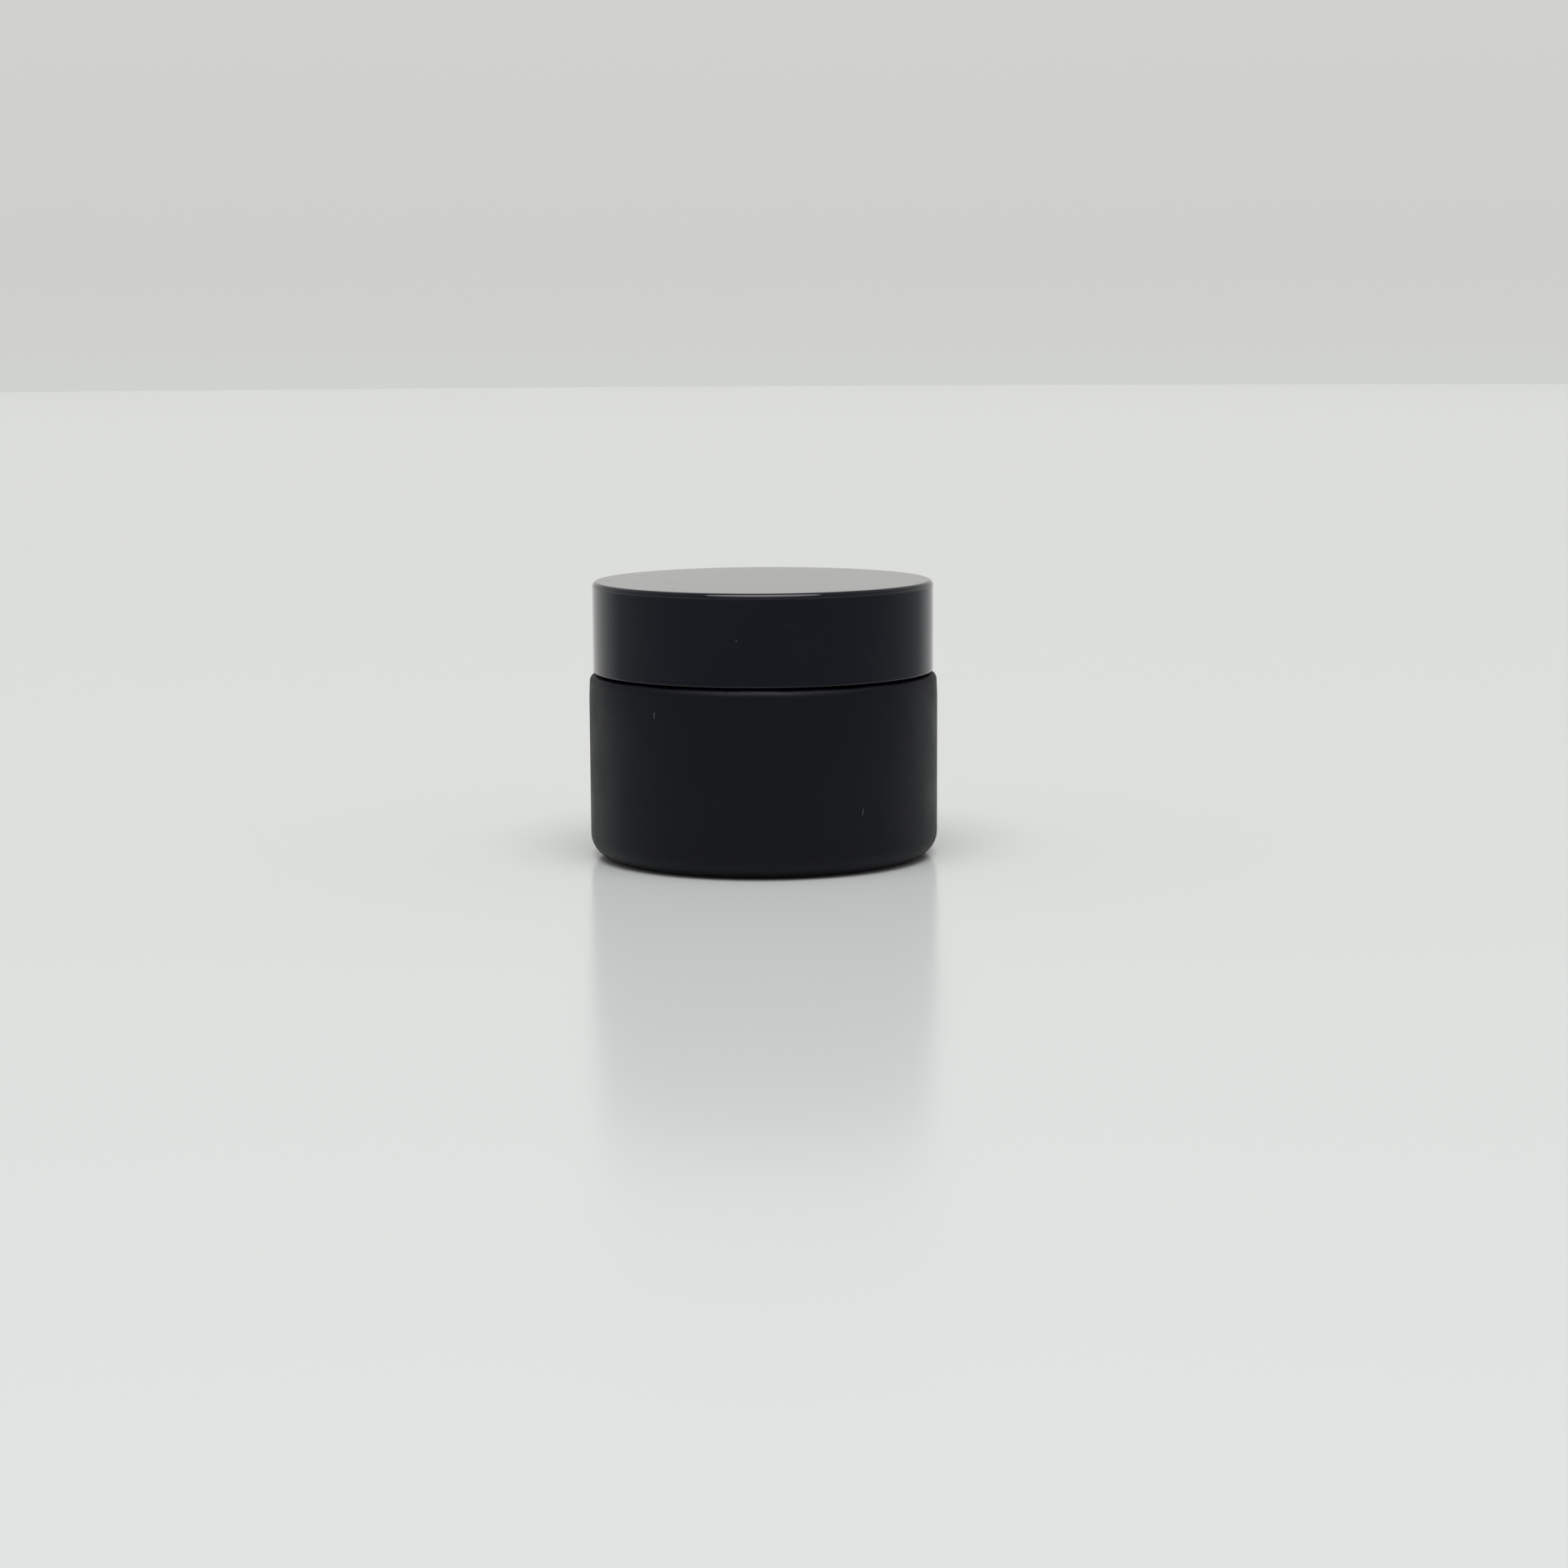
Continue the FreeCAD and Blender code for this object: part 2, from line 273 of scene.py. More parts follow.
def ramped(tree, value, low, high, to_low=0.0, to_high=1.0):
    """A value brought smoothly from one range to another, and held at its ends."""
    inputs = {"Value": value, "From Min": low, "From Max": high,
              "To Min": to_low, "To Max": to_high}
    node = add_node(tree, "ShaderNodeMapRange", inputs, interpolation_type="SMOOTHSTEP")
    return node.outputs["Result"]


def mixed(tree, share, first, second):
    """Two colours mixed: the Mix node's factor is its input 0, and its colours are 6 and 7."""
    node = add_node(tree, "ShaderNodeMix", data_type="RGBA")
    for number, given in ((0, share), (6, first), (7, second)):
        if isinstance(given, bpy.types.NodeSocket):
            tree.links.new(given, node.inputs[number])
        else:
            node.inputs[number].default_value = given
    return node.outputs[2]


def noise(tree, place, size, detail=2.0, roughness=0.5, stretch=(1, 1, 1)):
    """Noise whose lumps are about this many metres across."""
    mapping = add_node(tree, "ShaderNodeMapping", {"Vector": place, "Scale": stretch})
    inputs = {"Vector": mapping.outputs[0], "Scale": 1 / size,
              "Detail": detail, "Roughness": roughness}
    return add_node(tree, "ShaderNodeTexNoise", inputs).outputs["Fac"]


def bumped(tree, height, distance, normal=None):
    """A normal from a height of 0 to 1 that stands for this many metres."""
    inputs = {"Height": height, "Distance": distance}
    if normal:
        inputs["Normal"] = normal
    return add_node(tree, "ShaderNodeBump", inputs).outputs["Normal"]


def new_material(name, **constants):
    """A material and its node tree, with the constants set on the shader's own sockets."""
    material = bpy.data.materials.new(name)
    material.use_nodes = True
    tree = material.node_tree
    shader = tree.nodes["Principled BSDF"]
    for socket, number in constants.items():
        shader.inputs[socket.replace("_", " ")].default_value = number
    place = add_node(tree, "ShaderNodeTexCoord").outputs["Object"]
    return material, tree, shader, place


def feed(tree, shader, **links):
    """Link sockets to the shader's inputs."""
    for socket, source in links.items():
        tree.links.new(source, shader.inputs[socket.replace("_", " ")])


def split(tree, place):
    """The X, Y and Z of a place."""
    return add_node(tree, "ShaderNodeSeparateXYZ", {"Vector": place}).outputs


def dust(tree, place, spacing, size, share):
    """Fine specks of dust: about one in each spacing, on a share of the surface."""
    cells = add_node(tree, "ShaderNodeTexVoronoi", {"Vector": place, "Scale": 1 / spacing})
    near = ramped(tree, cells.outputs["Distance"], size / spacing * 0.4, size / spacing, 1.0, 0.0)
    lot = add_node(tree, "ShaderNodeSeparateColor", {"Color": cells.outputs["Color"]})
    chosen = maths(tree, "LESS_THAN", lot.outputs["Red"], share)
    return maths(tree, "MULTIPLY", near, chosen)


def fibre(tree, around, up, centre, lean):
    """A lint fibre on the wall: a short leaning stroke, a little bent."""
    across = maths(tree, "SUBTRACT", around, centre[0])
    along = maths(tree, "SUBTRACT", up, centre[1])
    shift = maths(tree, "MULTIPLY", along, lean)
    squared = maths(tree, "MULTIPLY", along, along)
    bend = maths(tree, "MULTIPLY", squared, FIBRE_BEND / FIBRE_LENGTH)
    off = maths(tree, "SUBTRACT", maths(tree, "SUBTRACT", across, shift), bend)
    thin = ramped(tree, maths(tree, "ABSOLUTE", off), FIBRE_WIDTH * 0.35, FIBRE_WIDTH, 1.0, 0.0)
    reach = ramped(tree, maths(tree, "ABSOLUTE", along),
                   FIBRE_LENGTH * 0.4, FIBRE_LENGTH * 0.5, 1.0, 0.0)
    return maths(tree, "MULTIPLY", thin, reach)


def pit(tree, around, up):
    """The small oval dent in the wall: 1 in its middle, 0 from its rim outwards."""
    across = maths(tree, "DIVIDE", maths(tree, "SUBTRACT", around, DENT_PLACE[0]), DENT_HALF_WIDTH)
    along = maths(tree, "DIVIDE", maths(tree, "SUBTRACT", up, DENT_PLACE[1]), DENT_HALF_HEIGHT)
    squares = maths(tree, "ADD", maths(tree, "MULTIPLY", across, across),
                    maths(tree, "MULTIPLY", along, along))
    return ramped(tree, squares, 0.3, 1.0, 1.0, 0.0)


def round_wall(tree, axes):
    """Distance round the jar's wall from its front, positive towards +X."""
    toward = maths(tree, "MULTIPLY", axes["Y"], -1.0)
    angle = maths(tree, "ARCTAN2", axes["X"], toward)
    return maths(tree, "MULTIPLY", angle, JAR_RADIUS)


# ---------------------------------------------------------------- materials

# colours, in pairs where a surface varies between two
LACQUER = ((0.0010, 0.0014, 0.0040, 1), (0.0019, 0.0024, 0.0056, 1))
LACQUER_RUBBED = (0.02, 0.02, 0.022, 1)
LINT = (0.20, 0.21, 0.22, 1)
GLASS = ((0.0035, 0.0050, 0.0050, 1), (0.0070, 0.0095, 0.0092, 1))
GLASS_SEEDS = (0.12, 0.14, 0.14, 1)
POLISHED_BLACK = ((0.0032, 0.0038, 0.0070, 1), (0.0042, 0.0049, 0.0085, 1))
DRIED_SPOTS = (0.02, 0.02, 0.019, 1)
DUST = (0.20, 0.20, 0.20, 1)
SATIN_BLACK = ((0.009, 0.009, 0.010, 1), (0.014, 0.014, 0.015, 1))
SCUFFS = (0.05, 0.05, 0.05, 1)
FOAM = ((0.80, 0.80, 0.77, 1), (0.87, 0.87, 0.85, 1))
FOAM_CELLS = (0.66, 0.66, 0.63, 1)
MILKY = ((0.74, 0.76, 0.755, 1), (0.82, 0.835, 0.83, 1))

# marks on the jar's wall, each placed by its distance round the wall and its height
FIBRES = (((-19.9 * MM, 27.0 * MM), 0.05), ((16.8 * MM, 10.8 * MM), 0.25))
FIBRE_LENGTH = 1.2 * MM
FIBRE_WIDTH = 0.045 * MM
FIBRE_BEND = 0.35
DENT_PLACE = (-6.6 * MM, 31.2 * MM)
DENT_HALF_WIDTH = 0.30 * MM
DENT_HALF_HEIGHT = 0.16 * MM
DENT_DEPTH = 0.06 * MM


def soft_touch_material():
    """Matt black lacquer over glass: tooth, orange peel, dust, lint, a dent and a rubbed foot."""
    material, tree, shader, place = new_material(
        "soft_touch_black", IOR=1.45, Specular_IOR_Level=0.20)
    axes = split(tree, place)
    around, up = round_wall(tree, axes), axes["Z"]
    broad = noise(tree, place, 9 * MM, detail=3.0)
    tooth = noise(tree, place, 0.22 * MM, detail=3.0, roughness=0.65)
    peel = noise(tree, place, 2.2 * MM, detail=2.0)
    shade = mixed(tree, broad, *LACQUER)
    specks = maths(tree, "MAXIMUM",
                   dust(tree, place, 6.5 * MM, 0.11 * MM, 0.4),
                   maths(tree, "MULTIPLY", dust(tree, place, 2.1 * MM, 0.05 * MM, 0.5), 0.5))
    lint = maths(tree, "MAXIMUM", *(fibre(tree, around, up, *mark) for mark in FIBRES))
    pale = maths(tree, "MAXIMUM", maths(tree, "MULTIPLY", specks, 0.35), lint)
    shade = mixed(tree, pale, shade, LINT)
    worn = rubbed(tree, axes, place)
    shade = mixed(tree, maths(tree, "MULTIPLY", worn, 0.5), shade, LACQUER_RUBBED)
    matt = ramped(tree, broad, 0.3, 0.7, 0.45, 0.54)
    matt = maths(tree, "ADD", matt, ramped(tree, tooth, 0.3, 0.7, -0.05, 0.05))
    matt = maths(tree, "SUBTRACT", matt, maths(tree, "MULTIPLY", worn, 0.12))
    normal = bumped(tree, peel, 0.012 * MM)
    normal = bumped(tree, tooth, 0.008 * MM, normal=normal)
    normal = bumped(tree, pale, 0.02 * MM, normal=normal)
    dent = maths(tree, "MULTIPLY", pit(tree, around, up), -1.0)
    normal = bumped(tree, dent, DENT_DEPTH, normal=normal)
    feed(tree, shader, Base_Color=shade, Roughness=matt, Normal=normal)
    return material


def rubbed(tree, axes, place):
    """Where the lacquer is rubbed: patches of the bearing ring underneath."""
    underneath = ramped(tree, axes["Z"], 0.02 * MM, 0.25 * MM, 1.0, 0.0)
    patches = ramped(tree, noise(tree, place, 1.1 * MM, detail=4.0, roughness=0.7), 0.45, 0.62)
    return maths(tree, "MULTIPLY", underneath, patches)


def bare_glass_material():
    """The bowl and lip: clear glass with the black lacquer behind it, so dark and very glossy."""
    material, tree, shader, place = new_material(
        "bare_glass", IOR=1.52, Coat_Weight=0.25, Coat_Roughness=0.02, Coat_IOR=1.5)
    ripple = noise(tree, place, 6 * MM, detail=1.0)
    depth = mixed(tree, ripple, *GLASS)
    seeds = dust(tree, place, 5 * MM, 0.10 * MM, 0.25)
    depth = mixed(tree, maths(tree, "MULTIPLY", seeds, 0.4), depth, GLASS_SEEDS)
    polish = ramped(tree, noise(tree, place, 3 * MM, detail=2.0), 0.35, 0.7, 0.035, 0.07)
    feed(tree, shader, Base_Color=depth, Roughness=polish, Normal=bumped(tree, ripple, 0.05 * MM))
    return material


def lid_gloss_material():
    """Polished black plastic: near a mirror, with dust, hairlines and dried spots on its top."""
    material, tree, shader, place = new_material(
        "polished_black", IOR=1.36, Coat_IOR=1.3, Coat_Roughness=0.03, Coat_Weight=0.4)
    axes = split(tree, place)
    on_top = ramped(tree, axes["Z"], LID_HEAD - 0.15 * MM, LID_HEAD - 0.02 * MM)
    spots = maths(tree, "MULTIPLY", on_top, dried_spots(tree, axes, place))
    specks = dust(tree, place, 5.5 * MM, 0.14 * MM, 0.4)
    shade = mixed(tree, noise(tree, place, 12 * MM), *POLISHED_BLACK)
    shade = mixed(tree, maths(tree, "MULTIPLY", spots, 0.12), shade, DRIED_SPOTS)
    shade = mixed(tree, maths(tree, "MULTIPLY", specks, 0.7), shade, DUST)
    hairlines = scratches(tree, place)
    polish = ramped(tree, noise(tree, place, 7 * MM, detail=3.0), 0.3, 0.75, 0.035, 0.06)
    polish = maths(tree, "ADD", polish, maths(tree, "MULTIPLY", spots, 0.10))
    polish = maths(tree, "ADD", polish, maths(tree, "MULTIPLY", hairlines, 0.05))
    wave = noise(tree, place, 7 * MM, detail=1.0)
    mottle = maths(tree, "MULTIPLY", on_top, noise(tree, place, 2.2 * MM, detail=2.0))
    normal = bumped(tree, wave, 0.010 * MM)
    normal = bumped(tree, mottle, 0.018 * MM, normal=normal)
    normal = bumped(tree, spots, 0.022 * MM, normal=normal)
    normal = bumped(tree, hairlines, 0.0012 * MM, normal=normal)
    feed(tree, shader, Base_Color=shade, Roughness=polish, Normal=normal)
    return material


def dried_spots(tree, axes, place):
    """Dried residue: small soft-edged spots, mostly over the left and back of the top."""
    patch = noise(tree, place, 9 * MM, detail=1.0)
    side = ramped(tree, axes["X"], -24 * MM, 4 * MM, 1.0, 0.0)
    back = ramped(tree, axes["Y"], -14 * MM, 16 * MM, 0.0, 0.45)
    weight = maths(tree, "MULTIPLY", maths(tree, "MAXIMUM", side, back),
                   ramped(tree, patch, 0.40, 0.58))
    spots = noise(tree, place, 2.8 * MM, detail=1.0, roughness=0.4, stretch=(0.8, 1, 1))
    return maths(tree, "MULTIPLY", weight, ramped(tree, spots, 0.52, 0.68))


def scratches(tree, place):
    """Sparse fine hairlines in two directions."""
    lines = []
    for turn, size in ((0.5, 1.1 * MM), (-0.9, 1.6 * MM)):
        spun = add_node(tree, "ShaderNodeMapping", {"Vector": place, "Rotation": (0, 0, turn)})
        streaks = noise(tree, spun.outputs[0], size, detail=1.0, stretch=(0.06, 1, 1))
        near = maths(tree, "ABSOLUTE", maths(tree, "SUBTRACT", streaks, 0.5))
        lines.append(ramped(tree, near, 0.0, 0.012, 1.0, 0.0))
    gaps = ramped(tree, noise(tree, place, 8 * MM), 0.5, 0.62)
    return maths(tree, "MULTIPLY", maths(tree, "MAXIMUM", *lines), gaps)


def cap_plastic_material():
    """Plain moulded polypropylene: satin, faintly grained, with flow marks and scuffs."""
    material, tree, shader, place = new_material("satin_black_plastic", IOR=1.49)
    flow = noise(tree, place, 4 * MM, detail=3.0, stretch=(1, 1, 0.35))
    grain = noise(tree, place, 0.2 * MM, detail=2.0)
    shade = mixed(tree, flow, *SATIN_BLACK)
    scuffs = scratches(tree, place)
    shade = mixed(tree, maths(tree, "MULTIPLY", scuffs, 0.25), shade, SCUFFS)
    satin = ramped(tree, flow, 0.3, 0.7, 0.30, 0.40)
    normal = bumped(tree, flow, 0.012 * MM)
    normal = bumped(tree, grain, 0.002 * MM, normal=normal)
    feed(tree, shader, Base_Color=shade, Roughness=satin, Normal=normal)
    return material


def liner_foam_material():
    """White closed-cell foam under a thin skin, with its cells faintly showing."""
    material, tree, shader, place = new_material("white_foam", IOR=1.4, Specular_IOR_Level=0.35)
    cells = add_node(tree, "ShaderNodeTexVoronoi", {"Vector": place, "Scale": 1 / (0.45 * MM)})
    cell = cells.outputs["Distance"]
    cloud = noise(tree, place, 3 * MM, detail=2.0)
    shade = mixed(tree, cloud, *FOAM)
    shade = mixed(tree, ramped(tree, cell, 0.35, 0.75, 0.0, 0.25), shade, FOAM_CELLS)
    soft = ramped(tree, cloud, 0.3, 0.7, 0.48, 0.62)
    normal = bumped(tree, maths(tree, "MULTIPLY", cell, -1.0), 0.02 * MM)
    feed(tree, shader, Base_Color=shade, Roughness=soft, Normal=normal)
    return material


def natural_plastic_material():
    """Thin milky polyethylene: waxy, a little uneven, with faint moulding ripples."""
    material, tree, shader, place = new_material(
        "milky_polyethylene", IOR=1.51, Subsurface_Weight=0.25, Subsurface_Scale=0.6 * MM)
    cloud = noise(tree, place, 5 * MM, detail=3.0)
    ripple = noise(tree, place, 2.2 * MM, detail=1.0)
    shade = mixed(tree, cloud, *MILKY)
    waxy = ramped(tree, cloud, 0.3, 0.7, 0.30, 0.42)
    feed(tree, shader, Base_Color=shade, Roughness=waxy, Normal=bumped(tree, ripple, 0.012 * MM))
    return material


# ---------------------------------------------------------------- pieces

def shoulder_wave(angle):
    """The slight unevenness of the lacquered shoulder round the jar, in metres."""
    wave = 0.5 * sin(3 * angle + 0.6) + 0.4 * sin(8 * angle + 2.1) + 0.35 * sin(17 * angle + 4.0)
    return SHOULDER_WAVE * wave


def jar_shape(angle, radius, height):
    """The jar's outline at one angle: its thread and its slightly uneven shoulder."""
    on_neck = SHOULDER_HEIGHT + NECK_FOOT_ROUND < height < LIP_HEIGHT - LIP_ROUND
    if on_neck and radius > BOWL_MOUTH_RADIUS + LIP_ROUND:
        rise = thread_rise(angle, height, NECK_THREAD_START,
                           NECK_THREAD_HALF_BASE, NECK_THREAD_HALF_CREST)
        return radius + rise * (NECK_THREAD_RADIUS - NECK_RADIUS), height
    if radius > NECK_RADIUS + NECK_FOOT_ROUND:
        share = smooth_step((height - SHOULDER_HEIGHT + WAVE_REACH_DOWN) / WAVE_REACH_DOWN)
        share *= smooth_step((radius - NECK_RADIUS - NECK_FOOT_ROUND) / WAVE_REACH_IN)
        return radius, height + share * (shoulder_wave(angle) - SHOULDER_DROP)
    return radius, height


def jar_rows():
    """The jar's outline, from under its base, over its lip, to the floor of its bowl."""
    outline = rounded([
        (0, PUSH_UP_DEPTH, 0),
        (PUSH_UP_RADIUS - PUSH_UP_SLOPE, PUSH_UP_DEPTH, 0.5 * MM),
        (PUSH_UP_RADIUS, 0, 0.4 * MM),
        (JAR_RADIUS, 0, HEEL_ROUND),
        (JAR_RADIUS, SHOULDER_HEIGHT - EASING_HEIGHT, EASING_ROUND),
        (JAR_RADIUS - SHOULDER_EASING, SHOULDER_HEIGHT, SHOULDER_ROUND),
        (NECK_RADIUS, SHOULDER_HEIGHT, NECK_FOOT_ROUND),
        (NECK_RADIUS, LIP_HEIGHT, LIP_ROUND),
        (BOWL_MOUTH_RADIUS, LIP_HEIGHT, LIP_ROUND),
        (BOWL_FLOOR_RADIUS, BOWL_FLOOR_HEIGHT, BOWL_ROUND),
        (0, BOWL_FLOOR_HEIGHT, 0),
    ])
    return filled(outline, NECK_RADIUS)


def make_jar():
    """The coated glass body, bare inside its mouth."""
    rows = jar_rows()
    lip = next(index for index, row in enumerate(rows) if row.y > LIP_HEIGHT - EDGE_GUARD)
    jar = turned("jar_body", rows, jar_shape, lambda index: int(index >= lip))
    jar.data.materials.append(soft_touch_material())
    jar.data.materials.append(bare_glass_material())
    hand_over(jar, "jar", "glass_jar")


def make_disc():
    """The milky sealing disc, with a pull tab standing in its pan."""
    pan = PLUG_FOOT + PAN_THICKNESS
    rows = filled(rounded([
        (0, PLUG_FOOT, 0),
        (PLUG_RADIUS, PLUG_FOOT, 0.3 * MM),
        (PLUG_RADIUS, LIP_HEIGHT, 0.1 * MM),
        (DISC_RADIUS, LIP_HEIGHT, 0.2 * MM),
        (DISC_RADIUS, DISC_HEAD, 0.2 * MM),
        (PLUG_RADIUS - PLUG_WALL, DISC_HEAD, 0.2 * MM),
        (PLUG_RADIUS - PLUG_WALL, pan, 0.3 * MM),
        (0, pan, 0),
    ], steps=5))
    disc = turned("seal_disc", rows)
    tab = pull_tab(pan)
    merged = bmesh.new()
    for part in (disc, tab):
        merged.from_mesh(part.data)
    merged.to_mesh(disc.data)
    merged.free()
    bpy.data.objects.remove(tab)
    disc.data.materials.append(natural_plastic_material())
    hand_over(disc, "seal", "sealing_disc")


def pull_tab(foot):
    """An upright tab with rounded upper corners and softened edges, its foot in the pan."""
    half = TAB_WIDTH / 2
    outline = [Vector((-half, -TAB_SUNK)), Vector((half, -TAB_SUNK))]
    for centre, first in ((half - TAB_CORNER, 0), (TAB_CORNER - half, pi / 2)):
        for step in range(ARC_STEPS + 1):
            turn = first + pi / 2 * step / ARC_STEPS
            outline.append(Vector((centre + TAB_CORNER * cos(turn),
                                   TAB_HEIGHT - TAB_CORNER + TAB_CORNER * sin(turn))))
    mesh = bmesh.new()
    front = [mesh.verts.new((point.x, -TAB_THICKNESS / 2, foot + point.y)) for point in outline]
    face = mesh.faces.new(front)
    grown = bmesh.ops.extrude_face_region(mesh, geom=[face])["geom"]
    back = [item for item in grown if isinstance(item, bmesh.types.BMVert)]
    bmesh.ops.translate(mesh, verts=back, vec=(0, TAB_THICKNESS, 0))
    bmesh.ops.recalc_face_normals(mesh, faces=mesh.faces)
    rims = [edge for edge in mesh.edges
            if any(len(side.verts) != 4 for side in edge.link_faces)
            and max(vert.co.z for vert in edge.verts) > foot]
    bmesh.ops.bevel(mesh, geom=rims, offset=TAB_EDGE_ROUND, segments=3, profile=0.5,
                    affect="EDGES")
    return finished("seal_disc_tab", mesh)


def make_liner():
    """The foam wad: soft edges, and a shallow ring where the disc's rim presses into it."""
    pressed = LINER_FOOT + PRESSED_DEPTH
    rows = filled(rounded([
        (0, LINER_FOOT, 0),
        (PRESSED_RADII[0], LINER_FOOT, 0.4 * MM),
        (PRESSED_RADII[1], pressed, 0.4 * MM),
        (PRESSED_RADII[2], pressed, 0.3 * MM),
        (PRESSED_RADII[3], LINER_FOOT, 0.3 * MM),
        (LINER_RADIUS, LINER_FOOT, 0.25 * MM),
        (LINER_RADIUS, LINER_HEAD, 0.25 * MM),
        (0, LINER_HEAD, 0),
    ], steps=4))
    liner = turned("lid_wad", rows)
    liner.data.materials.append(liner_foam_material())
    hand_over(liner, "seal", "lid_liner")


def cap_shape(angle, radius, height):
    """The inner cap at one angle: the thread in its bore and the splines round its skirt."""
    if abs(radius - CAP_BORE) < EDGE_GUARD:
        rise = thread_rise(angle, height, CAP_THREAD_START,
                           CAP_THREAD_HALF_BASE, CAP_THREAD_HALF_CREST)
        return radius - rise * (CAP_BORE - CAP_THREAD_RADIUS), height
    flange_top = CAP_FOOT + CAP_FLANGE_THICKNESS
    on_skirt = flange_top + EDGE_GUARD < height < flange_top + SPLINE_HEIGHT
    if on_skirt and abs(radius - CAP_BORE - CAP_WALL) < EDGE_GUARD:
        pitch = 2 * pi / SPLINE_COUNT
        away = abs((angle + pitch / 2) % pitch - pitch / 2) * radius
        if away < SPLINE_WIDTH / 2:
            return CAP_FLANGE_RADIUS, height
    return radius, height


def cap_rows():
    """The inner cap's outline, from the top of its roof, round its skirt, to its ceiling."""
    ceiling = LINER_HEAD + LINER_GAP
    roof = ceiling + CAP_ROOF_THICKNESS
    skirt = CAP_BORE + CAP_WALL
    flange_top = CAP_FOOT + CAP_FLANGE_THICKNESS
    bead = ceiling - CAP_BEAD_DROP
    outline = [(0, roof, 0)]
    for rib in CAP_RIBS:
        outline += [
            (rib, roof, 0.15 * MM),
            (rib, CAP_HEAD, 0.1 * MM),
            (rib + CAP_RIB_WIDTH, CAP_HEAD, 0.1 * MM),
            (rib + CAP_RIB_WIDTH, roof, 0.15 * MM),
        ]
    outline += [
        (skirt, roof, 0.6 * MM),
        (skirt, flange_top, 0.05 * MM),
        (CAP_FLANGE_RADIUS, flange_top, 0.1 * MM),
        (CAP_FLANGE_RADIUS, CAP_FOOT, 0.12 * MM),
        (CAP_BORE, CAP_FOOT, 0.25 * MM),
        (CAP_BORE, bead - CAP_BEAD_HALF_HEIGHT, 0.1 * MM),
        (CAP_BORE - CAP_BEAD_DEPTH, bead, 0.1 * MM),
        (CAP_BORE, bead + CAP_BEAD_HALF_HEIGHT, 0.1 * MM),
        (CAP_BORE, ceiling, 0.2 * MM),
        (0, ceiling, 0),
    ]
    return filled(rounded(outline, steps=4), CAP_BORE)


def make_inner_cap():
    """The satin inner cap, threaded in its bore."""
    cap = turned("lid_thread_cap", cap_rows(), cap_shape, segments=CAP_SEGMENTS)
    cap.data.materials.append(cap_plastic_material())
    hand_over(cap, "lid", "lid_inner_cap")


def make_lid_shell():
    """The polished outer cup of the lid."""
    bore = LID_RADIUS - LID_WALL
    inside = LID_HEAD - LID_TOP_THICKNESS
    bead_top = LID_FOOT + SNAP_BEAD_HEIGHT
    rows = filled(rounded([
        (0, LID_HEAD, 0),
        (LID_RADIUS, LID_HEAD, LID_EDGE_ROUND),
        (LID_RADIUS, LID_FOOT, 0.2 * MM),
        (bore - SNAP_BEAD_LEAD, LID_FOOT, 0.1 * MM),
        (bore - SNAP_BEAD_DEPTH, bead_top - SNAP_BEAD_SLOPE, 0.05 * MM),
        (bore, bead_top, 0.05 * MM),
        (bore, inside, 0.5 * MM),
        (0, inside, 0),
    ]))
    shell = turned("lid_outer", rows)
    shell.data.materials.append(lid_gloss_material())
    hand_over(shell, "lid", "lid_shell")


def hand_over(piece, body, node):
    """The piece rides on its body and stands for its CAD node."""
    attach(piece, body)
    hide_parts(node)


# ---------------------------------------------------------------- stage

CAMERA_PLACE = Vector((-0.00894, -0.55142, 0.09159))
CAMERA_DOWN = radians(8.213)
CAMERA_TO_RIGHT = radians(1.291)
CAMERA_ROLL = radians(0.306)
CAMERA_LENS = 73.77
FLOOR_LOOK = {"Roughness": 0.18, "IOR": 1.5, "Base_Color": (0.69, 0.705, 0.69, 1)}
FLOOR_SEGMENTS = 96
SHEET_RADIUS = 0.20
SHEET_FADE = 0.10
FADE_DROP = 0.02 * MM
FLOOR_RADIUS = 4.0
KEY_HEIGHT = radians(74)
KEY_WIDTH = radians(50)
KEY_STRENGTH = 2.7

# the surround: by height (the Z of a direction), and low down by how far behind the jar it lies
# (1 straight behind, -1 in front), with the middle of its bright part turned to the left
SURROUND_ABOVE = (
    (-0.04, (0.64, 0.66, 0.63)),
    (0.02, (0.62, 0.62, 0.61)),
    (0.10, (0.64, 0.64, 0.62)),
    (0.40, (0.38, 0.39, 0.39)),
    (1.00, (0.30, 0.31, 0.31)),
)
SURROUND_BELOW = (
    (-1.0, (0.22, 0.225, 0.245)),
    (0.5, (0.31, 0.32, 0.34)),
    (0.7, (0.50, 0.51, 0.51)),
    (1.0, (0.76, 0.77, 0.74)),
)
BELOW_FULL = -0.075
BELOW_GONE = -0.040
BRIGHT_SIDE = radians(6)


def place_camera():
    """The camera at the photograph's viewing angle."""
    data = bpy.data.cameras.new("camera")
    data.sensor_width = 36
    data.lens = CAMERA_LENS
    camera = bpy.data.objects.new("camera", data)
    bpy.context.scene.collection.objects.link(camera)
    turn = Matrix.Rotation(-CAMERA_TO_RIGHT, 4, "Z")
    tilt = Matrix.Rotation(pi / 2 - CAMERA_DOWN, 4, "X")
    roll = Matrix.Rotation(-CAMERA_ROLL, 4, "Z")
    camera.matrix_world = Matrix.Translation(CAMERA_PLACE) @ turn @ tilt @ roll
    bpy.context.scene.camera = camera


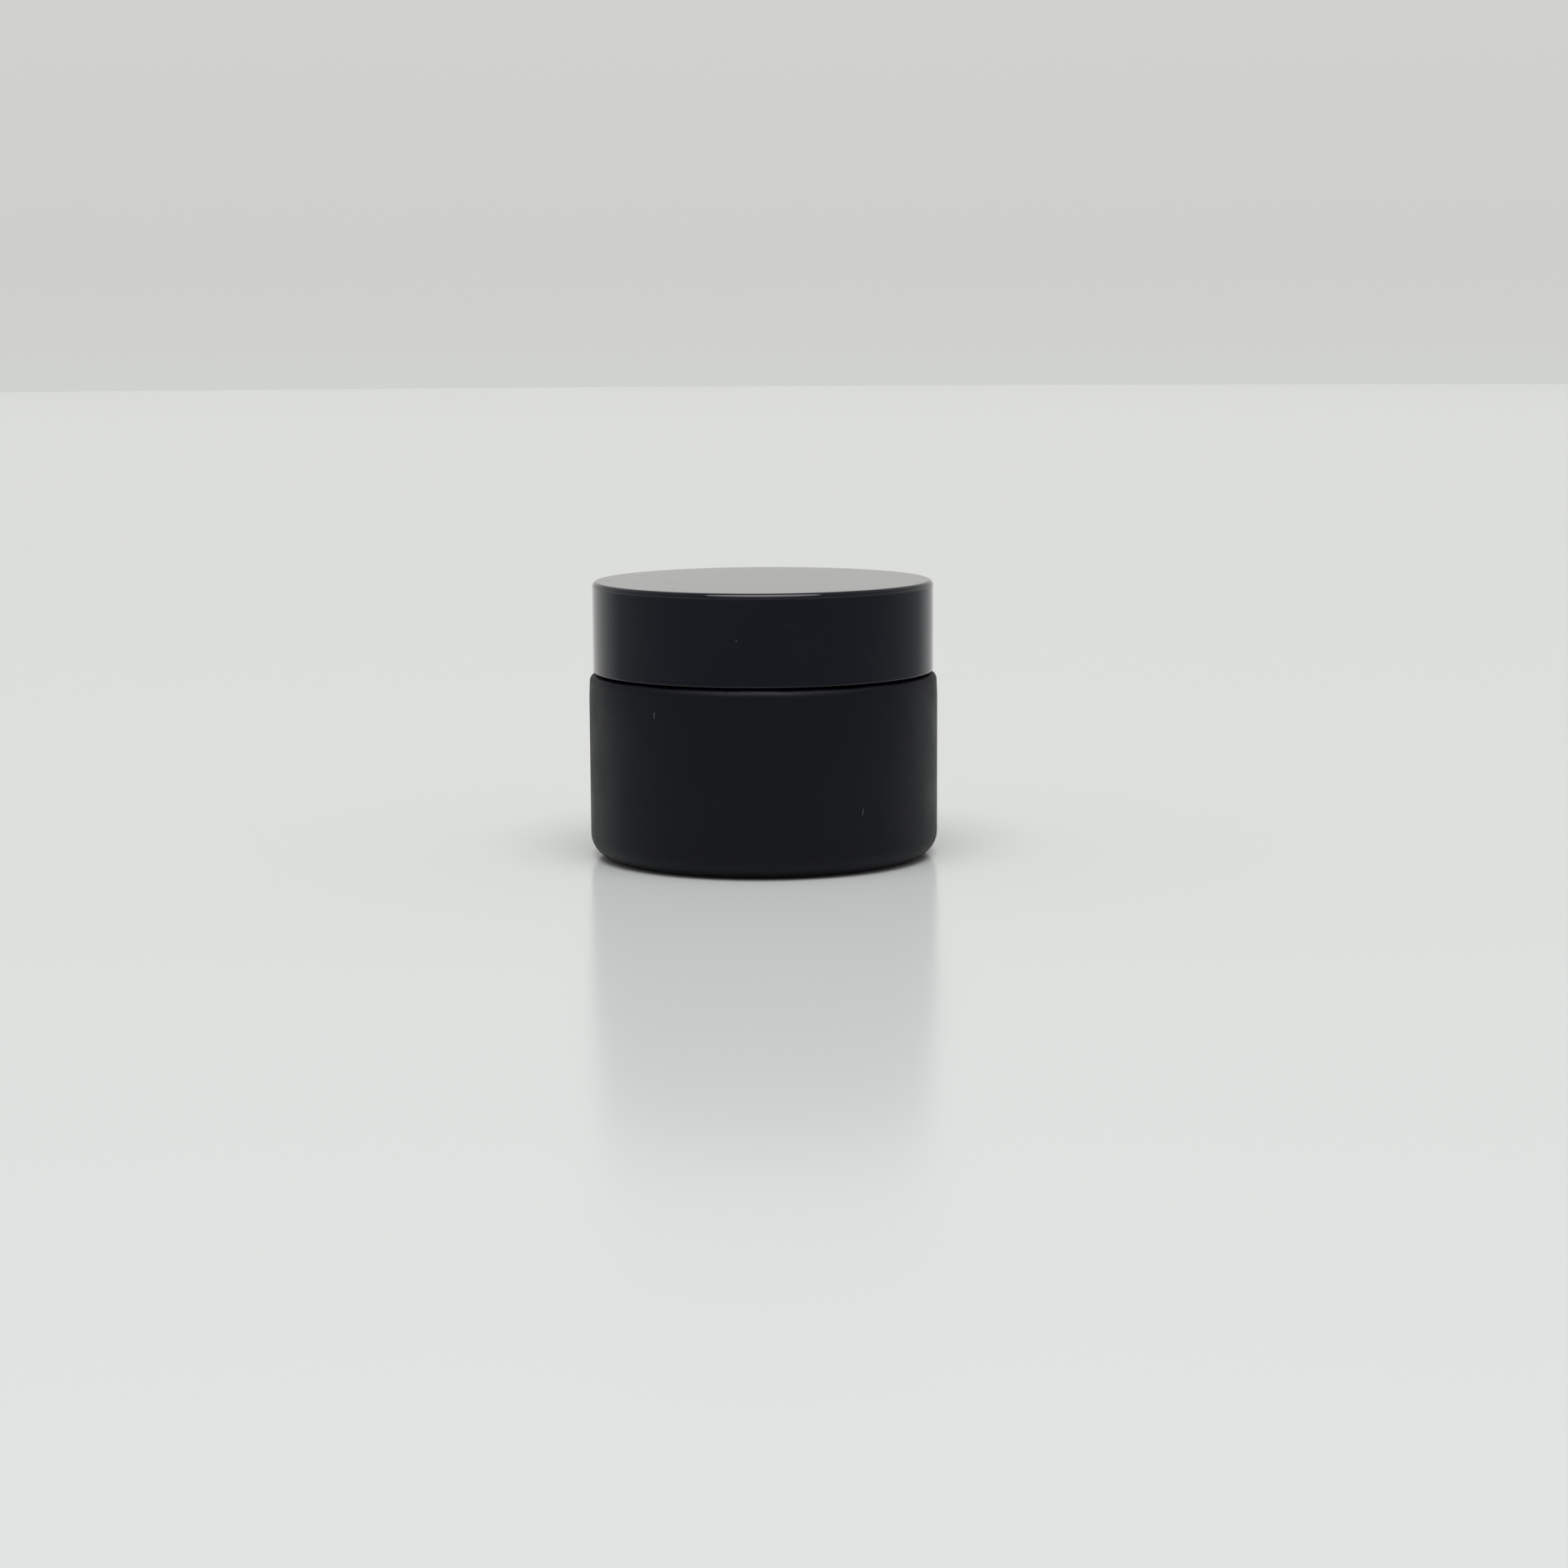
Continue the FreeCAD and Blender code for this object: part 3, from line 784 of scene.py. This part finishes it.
def flat_ring(name, inner, outer, material):
    """A flat ring, or a round sheet if inner is 0, facing up at the height the jar stands on."""
    mesh = bmesh.new()
    rings = []
    for radius in (inner, outer):
        if radius == 0:
            rings.append([mesh.verts.new((0, 0, 0))])
            continue
        rings.append([mesh.verts.new((radius * cos(2 * pi * step / FLOOR_SEGMENTS),
                                      radius * sin(2 * pi * step / FLOOR_SEGMENTS), 0))
                      for step in range(FLOOR_SEGMENTS)])
    for step in range(FLOOR_SEGMENTS):
        join_rings(mesh, rings[0], rings[1], step, (step + 1) % FLOOR_SEGMENTS, 0)
    sheet = finished(name, mesh)
    sheet.data.materials.append(material)
    return sheet


def make_floor():
    """A pale floor. Reflections show it round the jar only, fading out on a ring just under it."""
    material = new_material("pale_floor", **FLOOR_LOOK)[0]
    flat_ring("floor_sheet", 0, SHEET_RADIUS, material)
    surround = flat_ring("floor_surround", SHEET_RADIUS, FLOOR_RADIUS, material)
    surround.visible_glossy = False
    surround.visible_shadow = False
    fade = flat_ring("floor_fade", SHEET_RADIUS, SHEET_RADIUS + SHEET_FADE, fading_material())
    fade.location.z = -FADE_DROP
    fade.visible_camera = False
    fade.visible_diffuse = False
    fade.visible_shadow = False


def fading_material():
    """The floor's look, clear at the outer edge of the ring that reflections see."""
    material, tree, shader, place = new_material("fading_floor", **FLOOR_LOOK)
    far = add_node(tree, "ShaderNodeVectorMath", {0: place}, operation="LENGTH").outputs["Value"]
    solid = ramped(tree, far, SHEET_RADIUS, SHEET_RADIUS + SHEET_FADE, 1.0, 0.0)
    feed(tree, shader, Alpha=solid)
    return material


def make_world():
    """A pale surround by height, and what stands low down is darker towards the front."""
    world = bpy.data.worlds.new("studio")
    bpy.context.scene.world = world
    world.use_nodes = True
    tree = world.node_tree
    place = add_node(tree, "ShaderNodeTexCoord").outputs["Generated"]
    axes = split(tree, place)
    above = gradient(tree, axes["Z"], SURROUND_ABOVE)
    behind = maths(tree, "SUBTRACT", maths(tree, "MULTIPLY", axes["Y"], cos(BRIGHT_SIDE)),
                   maths(tree, "MULTIPLY", axes["X"], sin(BRIGHT_SIDE)))
    below = gradient(tree, behind, SURROUND_BELOW)
    low = ramped(tree, axes["Z"], BELOW_FULL, BELOW_GONE, 1.0, 0.0)
    tree.links.new(mixed(tree, low, above, below), tree.nodes["Background"].inputs["Color"])


def gradient(tree, value, stops):
    """Colours by value, each stop a value and its colour."""
    lowest, highest = stops[0][0], stops[-1][0]
    inputs = {"Value": value, "From Min": lowest, "From Max": highest}
    share = add_node(tree, "ShaderNodeMapRange", inputs).outputs["Result"]
    ramp = add_node(tree, "ShaderNodeValToRGB", {"Fac": share})
    elements = ramp.color_ramp.elements
    while len(elements) < len(stops):
        elements.new(0.5)
    for element, (stop, colour) in zip(elements, stops):
        element.position = (stop - lowest) / (highest - lowest)
        element.color = (*colour, 1)
    return ramp.outputs["Color"]


def make_lights():
    """One soft, even light from high in front."""
    data = bpy.data.lights.new("key", "SUN")
    data.angle = KEY_WIDTH
    data.energy = KEY_STRENGTH
    light = bpy.data.objects.new("key", data)
    light.rotation_euler = (pi / 2 - KEY_HEIGHT, 0, 0)
    bpy.context.scene.collection.objects.link(light)


place_camera()
make_floor()
make_world()
make_lights()
make_jar()
make_disc()
make_liner()
make_inner_cap()
make_lid_shell()
bpy.context.scene.view_settings.view_transform = "Standard"
